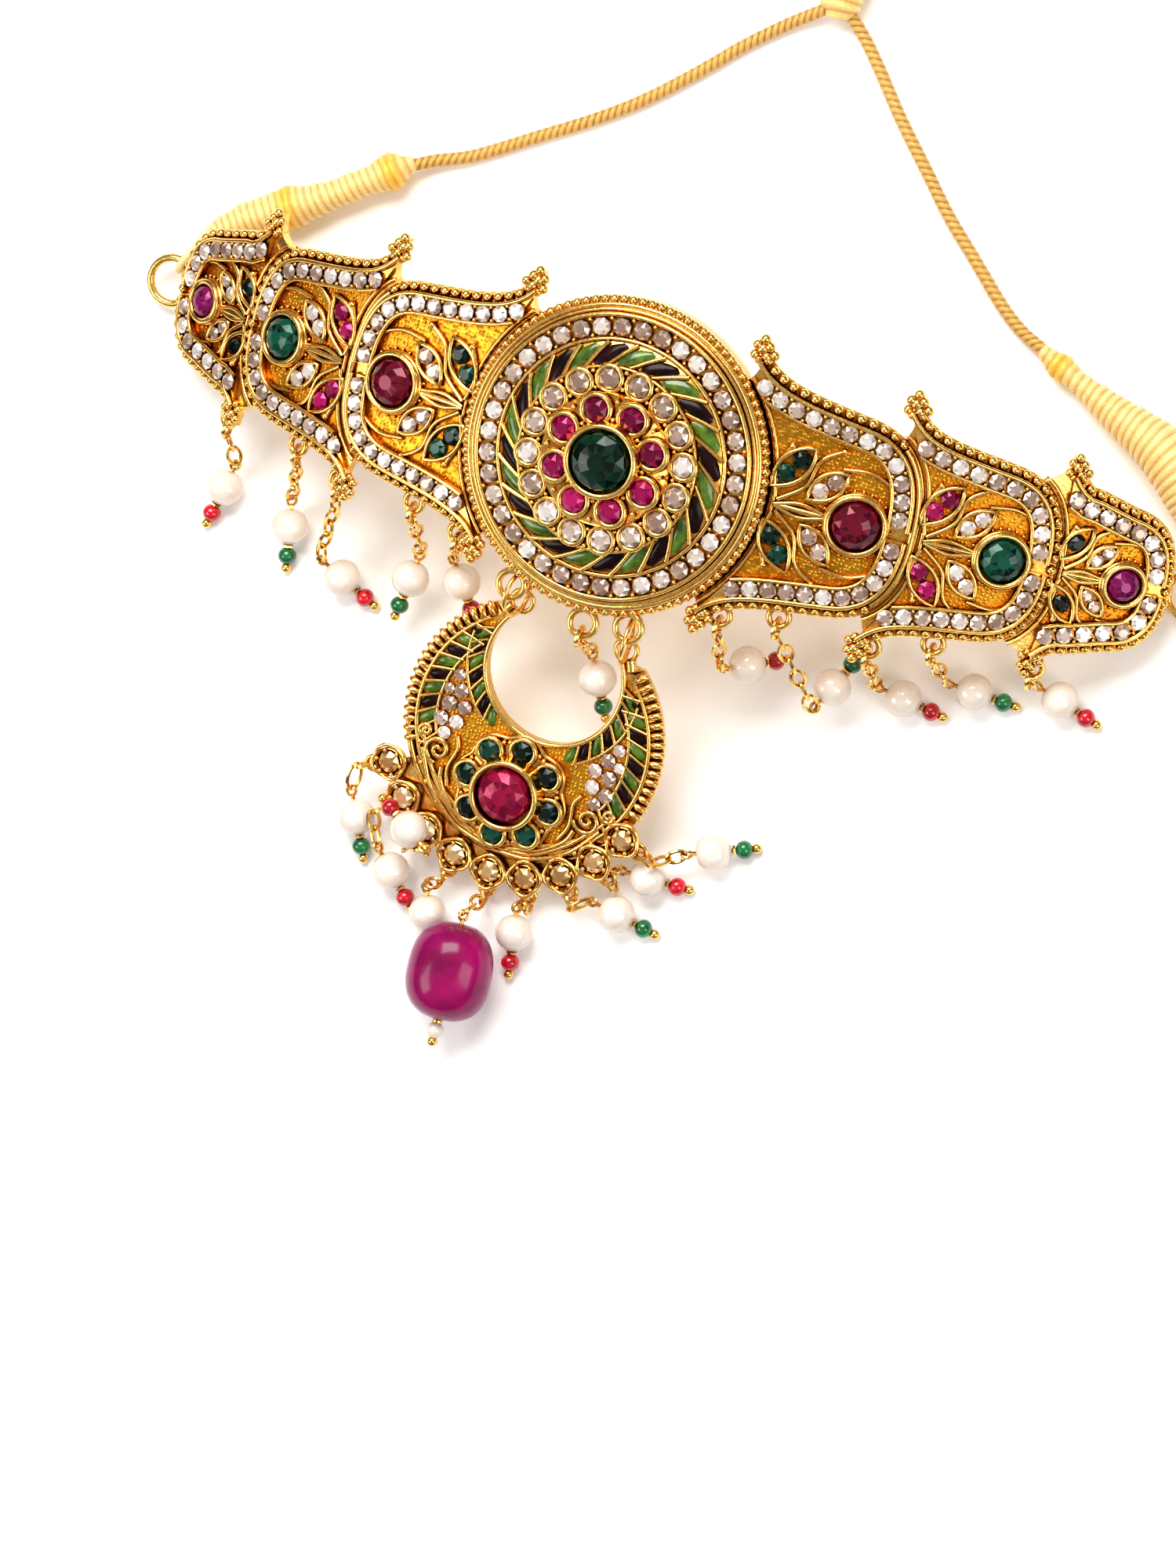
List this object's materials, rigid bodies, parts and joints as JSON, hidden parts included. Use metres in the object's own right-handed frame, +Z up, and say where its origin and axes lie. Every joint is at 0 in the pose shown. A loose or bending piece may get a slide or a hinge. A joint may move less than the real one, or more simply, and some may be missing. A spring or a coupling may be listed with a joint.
{
  "type": "armlet",
  "caption": "Gold armlet with a round medallion, six tapering plates, a crescent pendant, pearl drops and a gold thread cord, lying on a surface.",
  "frame": {"origin": "on the surface the armlet lies on, under the middle of the band, sleeves and pendant", "axes": "+Z up; +X along the band from the left plates to the right plates; +Y from the pendant towards the cord"},
  "size_m": [0.1452, 0.1469, 0.0315],
  "materials": {
    "gold": "polished antique gold plate",
    "pearl": "pearl lustre",
    "red_glass": "polished",
    "green_glass": "polished",
    "violet_glass": "polished",
    "magenta_stone": "polished",
    "gold_thread": "twisted metallic thread",
    "clear_glass": "foil-backed cut glass set in the metal",
    "green_enamel": "enamel set in the metal",
    "dark_enamel": "enamel set in the metal"
  },
  "bodies": {
    "root": {"centre_medallion": "gold", "crescent_pendant": "gold", "end_ring_r": "gold", "end_ring_l": "gold", "hanger_link_l": "gold", "hanger_link_r": "gold", "magenta_pin": "gold", "plate_r1": "gold", "plate_r2": "gold", "plate_r3": "gold", "plate_l1": "gold", "plate_l2": "gold", "plate_l3": "gold", "centre_stone": "green_glass", "pendant_ruby": "red_glass", "magenta_bead": "magenta_stone", "cabochon_r1": "red_glass", "cabochon_r2": "green_glass", "cabochon_r3": "violet_glass", "cabochon_l1": "red_glass", "cabochon_l2": "green_glass", "cabochon_l3": "violet_glass", "drop_r1_1": "pearl", "drop_r1_2": "pearl", "drop_r2_1": "pearl", "drop_r2_2": "pearl", "drop_r3_1": "pearl", "drop_l1_1": "pearl", "drop_l1_2": "pearl", "drop_l2_1": "pearl", "drop_l2_2": "pearl", "drop_l3_1": "pearl", "drop_c1_pin": "gold", "drop_c1_pearl": "pearl", "drop_c2_pin": "gold", "drop_c2_pearl": "pearl", "drop_c3_pin": "gold", "drop_c3_pearl": "pearl", "drop_c4_pin": "gold", "drop_c4_pearl": "pearl", "drop_c6_pin": "gold", "drop_c6_pearl": "pearl", "drop_c7_pin": "gold", "drop_c7_pearl": "pearl", "drop_c8_pin": "gold", "drop_c8_pearl": "pearl", "drop_c9_pin": "gold", "drop_c9_pearl": "pearl", "drop_centre_pin": "gold", "drop_centre_pearl": "pearl", "wound_sleeve_l": "gold_thread", "wound_sleeve_r": "gold_thread", "slider_knot": "gold_thread", "cord_left": "gold_thread", "cord_right": "gold_thread"}
  },
  "joints": []
}
